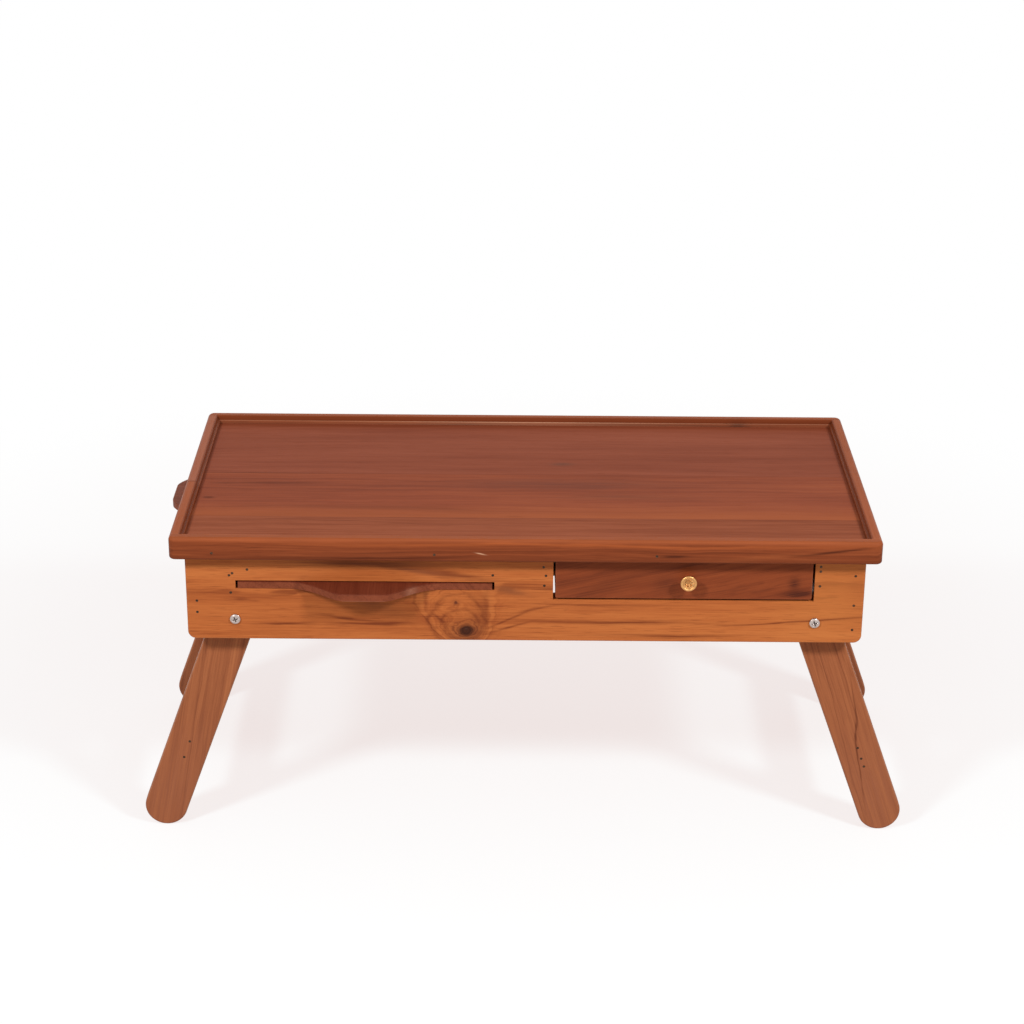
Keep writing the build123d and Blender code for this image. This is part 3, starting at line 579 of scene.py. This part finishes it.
boardLook = {
    "axes": (1, 0, 2), "pith": (-500.0, -140.0), "ring": 5.0, "drift": 18.0, "waver": 6.0,
    "share": (0.2, 0.25, 0.25, 0.3),
    "shades": [(0.2, (0.28, 0.072, 0.032)), (0.5, (0.225, 0.056, 0.025)),
               (0.8, (0.15, 0.036, 0.016))],
    "line": (0.075, 0.018, 0.010), "wearAndHighlightColour": (0.50, 0.21, 0.12), "late": 0.3, "rough": 0.42,
    "gloss": 0.06, "ends": None, "wearAndHighlightBand": 0.9, "wearAndHighlight": 0.4,
}
# painted shade on the top of the front board, which lies in the shadow of the tray's overhang
frontBoardTopShade = {"axis": 2, "at": 250.2, "core": 0.3, "wide": 0.7, "dark": 0.5,
                 "colour": (0.07, 0.003, 0.001)}

innerLook = {
    "axes": (0, 1, 2), "pith": (-300.0, -150.0), "ring": 6.0, "drift": 16.0, "waver": 6.0,
    "share": (0.25, 0.25, 0.25, 0.25),
    "shades": [(0.2, (0.52, 0.262, 0.115)), (0.5, (0.44, 0.203, 0.085)),
               (0.8, (0.33, 0.140, 0.056))],
    "line": (0.16, 0.07, 0.03), "late": 0.4, "rough": 0.62, "gloss": 0.2,
}

# Tray panel
for name, look in plankLooks.items():
    paint(name, wood(name, look))
print("tray panel done")

# Rim
# painted shade on the inner faces of the rim strips
innerFaceShade = {"axis": 2, "core": 0.7, "wide": 2.2, "dark": 0.7, "colour": (0.17, 0.038, 0.014)}
smoothPiece("front_lipping", wood("front_lipping", frontRailLook))
backRailLook = {
    **lippingLook, "shift": 900.0, "box": limits("back_lipping", lippingLook["axes"]),
    "bands": [
        railTopLight, {**innerFaceShade, "at": 150.1},
        # painted highlight along the inner foot of the back rim, stronger near its middle
        {"axis": 2, "at": 148.6, "core": 0.3, "wide": 0.8, "dark": 0.2,
         "colour": (0.60, 0.32, 0.20), "more": (0.0, 120.0, 0.45)},
    ],
    "streaks": [{"at": (205.0, 292.0), "size": (8.0, 6.0), "dark": 1.2, "sway": 0.0}],
}
smoothPiece("back_lipping", wood("back_lipping", backRailLook))
railAxes = (1, 2, 0)
leftRailLook = {
    **lippingLook, "axes": railAxes, "shift": 400.0, "box": limits("left_lipping", railAxes),
    "bands": [
        railTopLight,
        {"axis": 0, "at": 71.0, "core": 87.0, "wide": 88.5, "dark": 0.45,
         "colour": (0.36, 0.125, 0.075)},
        {"axis": 0, "at": -17.3, "core": 0.3, "wide": 1.3, "dark": 0.65},
        {**innerFaceShade, "at": -295.6},
    ],
}
rightRailLook = {
    **lippingLook, "axes": railAxes, "shift": 1100.0, "box": limits("right_lipping", railAxes),
    "bands": [railTopLight, {**innerFaceShade, "at": 295.6}],
}
smoothPiece("left_lipping", wood("left_lipping", leftRailLook))
smoothPiece("right_lipping", wood("right_lipping", rightRailLook))
print("rim done")

# Box
smoothPiece("front_apron", wood("front_apron", frontApronLook))
smoothPiece("back_apron", wood("back_apron", {**apronLook, "shift": 1300.0}))
for index, name in enumerate(("left_side_board", "right_side_board")):
    paint(name, wood(name, {**apronLook, "axes": (1, 2, 0), "shift": 500.0 + 800.0 * index}))
print("box done")

# Legs, their grain turned with the splay round the leg screws
legSet = {
    "splay": 20.0, "pivot": (0.2514, 0.0, 0.2149), "leftLean": 0.16, "rightLean": -0.03,
    "foot": -227.5, "half": 19.0,  # millimetres from the pivot, down and to either side
    "endShift": 333.0, "turnShift": 20.0, "stretcherShift": 30.0,
}
legPale = {"at": (-190.0, 0.0), "size": (70.0, 60.0), "dark": 0.5, "colour": (0.32, 0.110, 0.058)}
legDark = {"at": (-130.0, 3.0), "size": (50.0, 0.9), "dark": 1.3, "sway": 16.0, "slope": 0.2}
for side, sign in (("left", 1.0), ("right", -1.0)):
    turn = sign * legSet["splay"]
    about = (-sign * legSet["pivot"][0], *legSet["pivot"][1:])
    for index, end in enumerate(("front", "rear")):
        name = f"{side}_{end}_leg"
        look = {
            **legLook, "turn": turn, "about": about, "lean": legSet[side + "Lean"],
            "shift": legSet["endShift"] * index + turn * legSet["turnShift"],
            "box": [(legSet["foot"], legSet["half"]), (-legSet["half"], legSet["half"]),
                    *limits(name, (1,))],
            "streaks": [legPale, legDark] if name == "right_front_leg" else [legPale],
        }
        smoothPiece(name, wood(name, look))
    name = f"{side}_stretcher"
    look = {
        **legLook, "axes": (1, 2, 0), "turn": turn, "about": about,
        "shift": turn * legSet["stretcherShift"],
    }
    smoothPiece(name, wood(name, look))
print("legs done")

# Drawer
drawerFrontLook = {**drawerLook, "box": limits("drawer_front", drawerLook["axes"])}
smoothPiece("drawer_front", wood("drawer_front", drawerFrontLook))
drawerAxes = {
    "drawer_left_side": (1, 2, 0), "drawer_right_side": (1, 2, 0), "drawer_back": (0, 2, 1),
}
for name, axes in drawerAxes.items():
    paint(name, wood(name, {**innerLook, "axes": axes}))
paint("drawer_bottom", wood("drawer_bottom", {**innerLook, "late": 0.2}))
print("drawer done")

# Boards that slide out
frontBoardLook = {
    **boardLook, "box": limits("front_board", (1, 0, 2)), "bands": [frontBoardTopShade],
    "streaks": [
        {"at": (-146.0, -186.0), "size": (9.0, 1.6), "dark": 1.6, "sway": 0.0, "slope": -1.0},
        {"at": (-152.0, -96.0), "size": (8.0, 5.0), "dark": 0.9, "sway": 0.0,
         "colour": (0.55, 0.27, 0.17)},
    ],
}
smoothPiece("front_board", wood("front_board", frontBoardLook))
sideLook = {**boardLook, "axes": (0, 1, 2), "box": limits("side_board", (0, 1, 2))}
smoothPiece("side_board", wood("side_board", sideLook))
print("slide-out boards done")

# Members inside the box
innerMembers = {  # by the way that their grain runs
    (0, 1, 2): ("front_drawer_slat", "back_drawer_slat", "side_board_front_batten",
                "side_board_back_batten", "front_board_stop"),
    (1, 2, 0): ("centre_divider", "drawer_guide", "front_board_left_runner",
                "front_board_right_runner", "side_board_stop"),
}
for axes, names in innerMembers.items():
    for name in names:
        paint(name, wood(name, {**innerLook, "axes": axes}))
print("inner members done")


# Metal
scratches = {"strength": 0.2, "depth": 0.02 * mm}
crossEdge = (0.3, 0.45)  # where the cross in a screw's head begins and is at its darkest


def metal(name, look):
    material, tree, shader = newFinish(name)
    place = times(tree, node(tree, "TexCoord").outputs["Object"], (1.0 / mm,) * 3)
    cloud = spread(tree, noise(tree, times(tree, place, look["cloud"]), 3.0))
    shade = tint(tree, cloud, colour(*look["pale"]), colour(*look["dull"]))
    if "recess" in look:  # painted shade in the cross recess of each screw's head
        split = node(tree, "SeparateXYZ", {0: place}).outputs
        shape = look["recess"]
        outwards = calc(tree, "ABSOLUTE", calc(tree, "SUBTRACT", split[1], shape["middle"]))
        recessShade = calc(tree, "SUBTRACT", 1.0, ease(tree, outwards, shape["floor"], shape["mouth"]))
        sideways = calc(tree, "ABSOLUTE", split[0])
        inside = hill(tree, sideways, split[2], shape["at"], (shape["wide"], shape["wide"]))
        recessShade = calc(tree, "MULTIPLY", recessShade, ease(tree, inside, *crossEdge))
        shade = tint(tree, recessShade, shade, colour(*shape["colour"]))
    tree.links.new(shade, shader.inputs["Base Color"])
    gloss = calc(tree, "MULTIPLY_ADD", cloud, look["roughSpan"], look["rough"])
    tree.links.new(gloss, shader.inputs["Roughness"])
    shader.inputs["Metallic"].default_value = 1.0
    scratch = noise(tree, times(tree, place, look["scratch"]))
    sockets = {"Strength": scratches["strength"], "Distance": scratches["depth"], "Height": scratch}
    tree.links.new(node(tree, "Bump", sockets).outputs[0], shader.inputs["Normal"])
    return material


nailSteel = metal("nailSteel", {
    "pale": (0.12, 0.07, 0.045), "dull": (0.03, 0.018, 0.012), "rough": 0.45, "roughSpan": 0.3,
    "cloud": (0.8, 0.8, 0.8), "scratch": (2.0, 2.0, 2.0),
})
screwChrome = metal("screwChrome", {
    "pale": (0.60, 0.51, 0.47), "dull": (0.42, 0.34, 0.31), "rough": 0.16, "roughSpan": 0.2,
    "cloud": (0.6, 0.6, 0.6), "scratch": (3.0, 3.0, 0.6),
    "recess": {"middle": 7.0, "floor": 142.2, "mouth": 143.0, "at": (251.4, 214.93), "wide": 3.0,
               "colour": (0.10, 0.075, 0.07)},
})
fittingSteel = metal("fittingSteel", {
    "pale": (0.60, 0.60, 0.60), "dull": (0.40, 0.39, 0.38), "rough": 0.3, "roughSpan": 0.25,
    "cloud": (0.4, 0.4, 0.4), "scratch": (2.0, 2.0, 2.0),
})
knobBrass = metal("knobBrass", {
    "pale": (0.76, 0.40, 0.155), "dull": (0.52, 0.26, 0.095), "rough": 0.26, "roughSpan": 0.16,
    "cloud": (0.5, 0.5, 0.5), "scratch": (0.7, 0.7, 0.7),
})
for name in parts:
    if name.endswith("_nails"):
        paint(name, nailSteel)
for name in ("pivot_spacers", "pivot_washers", "pivot_nuts", "drawer_knob_screw"):
    paint(name, fittingSteel)
smoothPiece("pivot_screws", screwChrome)
smoothPiece("drawer_knob", knobBrass)
print("metal done")


# Stage: a pale floor that fades to white away from the desk
def rayMask(tree):  # camera, glossy and transmission rays see the plain white background
    path = node(tree, "LightPath").outputs
    seen = calc(tree, "MAXIMUM", path["Is Camera Ray"], path["Is Glossy Ray"])
    return calc(tree, "MAXIMUM", seen, path["Is Transmission Ray"])


studio = {
    "floorSize": 24.0, "glow": (0.815, 0.72, 0.705), "floor": (0.185, 0.28, 0.295),
    "bounce": (0.60, 0.58, 0.57), "fadeFrom": 0.45, "fadeTo": 1.1,
    "ambient": 0.40, "lamp": 30.5, "lampSize": 0.34,
    "lampPlaces": {"leftSoftBox": (-1.3, -1.5, 1.75), "rightSoftBox": (1.4, -1.4, 1.75)},
    "lampAim": (0.0, 0.0, 0.2),
}


def floorFinish():
    material = bpy.data.materials.new("studioFloor")
    material.use_nodes = True
    tree = material.node_tree
    tree.nodes.clear()
    place = node(tree, "TexCoord").outputs["Object"]
    reach = node(tree, "VectorMath", {0: place}, operation="LENGTH").outputs["Value"]
    faded = ease(tree, reach, studio["fadeFrom"], studio["fadeTo"])
    lit = node(tree, "BsdfDiffuse", {"Color": colour(*studio["floor"])}).outputs[0]
    glow = node(tree, "Emission", {"Color": colour(*studio["glow"]), "Strength": 1.0}).outputs[0]
    near = node(tree, "AddShader", {0: lit, 1: glow}).outputs[0]
    white = node(tree, "Emission", {"Color": colour(1.0, 1.0, 1.0), "Strength": 1.0}).outputs[0]
    shown = node(tree, "MixShader", {0: faded, 1: near, 2: white}).outputs[0]
    bounce = node(tree, "BsdfDiffuse", {"Color": colour(*studio["bounce"])}).outputs[0]
    above = node(tree, "MixShader", {0: rayMask(tree), 1: bounce, 2: shown}).outputs[0]
    clear = node(tree, "BsdfTransparent").outputs[0]
    below = node(tree, "NewGeometry").outputs["Backfacing"]  # so the desk is seen from underneath
    final = node(tree, "MixShader", {0: below, 1: above, 2: clear}).outputs[0]
    node(tree, "OutputMaterial", {"Surface": final})
    return material


bpy.ops.mesh.primitive_plane_add(size=studio["floorSize"], location=(0.0, 0.0, 0.0))
studioFloor = bpy.context.active_object
studioFloor.name = "studioFloor"
studioFloor.data.materials.append(floorFinish())

world = bpy.data.worlds.new("studioWorld")
bpy.context.scene.world = world
world.use_nodes = True
skyTree = world.node_tree
skyTree.nodes.clear()
skyLight = tint(skyTree, rayMask(skyTree), colour(*[studio["ambient"]] * 3), colour(1.0, 1.0, 1.0))
skyGlow = node(skyTree, "Background", {"Color": skyLight, "Strength": 1.0}).outputs[0]
node(skyTree, "OutputWorld", {"Surface": skyGlow})

for name, place in studio["lampPlaces"].items():
    bpy.ops.object.light_add(type="AREA", location=place)
    lamp = bpy.context.active_object
    lamp.name = name
    lamp.data.shape = "SQUARE"
    lamp.data.size = studio["lampSize"]
    lamp.data.energy = studio["lamp"]
    ahead = Vector(studio["lampAim"]) - Vector(place)
    lamp.rotation_euler = ahead.to_track_quat("-Z", "Y").to_euler()
print("studio done")

# Camera at the photograph's angle
view = {
    "place": (-0.01550, -2.02844, 1.12003), "yaw": 0.1064, "pitch": 22.959, "roll": 0.4621,
    "focalPixels": 2416.59, "framePixels": 1024, "sensor": 36.0,
}


def photoCamera():
    yaw, pitch, roll = (math.radians(view[key]) for key in ("yaw", "pitch", "roll"))
    ahead = Vector((math.sin(yaw) * math.cos(pitch), math.cos(yaw) * math.cos(pitch),
                    -math.sin(pitch)))
    right = Vector((math.cos(yaw), -math.sin(yaw), 0.0))
    above = right.cross(ahead)
    rolledRight = right * math.cos(roll) + above * math.sin(roll)
    rolledAbove = above * math.cos(roll) - right * math.sin(roll)
    data = bpy.data.cameras.new("photoCamera")
    data.sensor_fit = "HORIZONTAL"
    data.sensor_width = view["sensor"]
    data.lens = view["focalPixels"] / view["framePixels"] * view["sensor"]
    camera = bpy.data.objects.new("photoCamera", data)
    bpy.context.scene.collection.objects.link(camera)
    turn = Matrix((rolledRight, rolledAbove, -ahead)).transposed().to_4x4()
    camera.matrix_world = Matrix.Translation(Vector(view["place"])) @ turn
    bpy.context.scene.camera = camera


photoCamera()
bpy.context.scene.view_settings.view_transform = "Standard"
print("camera done")
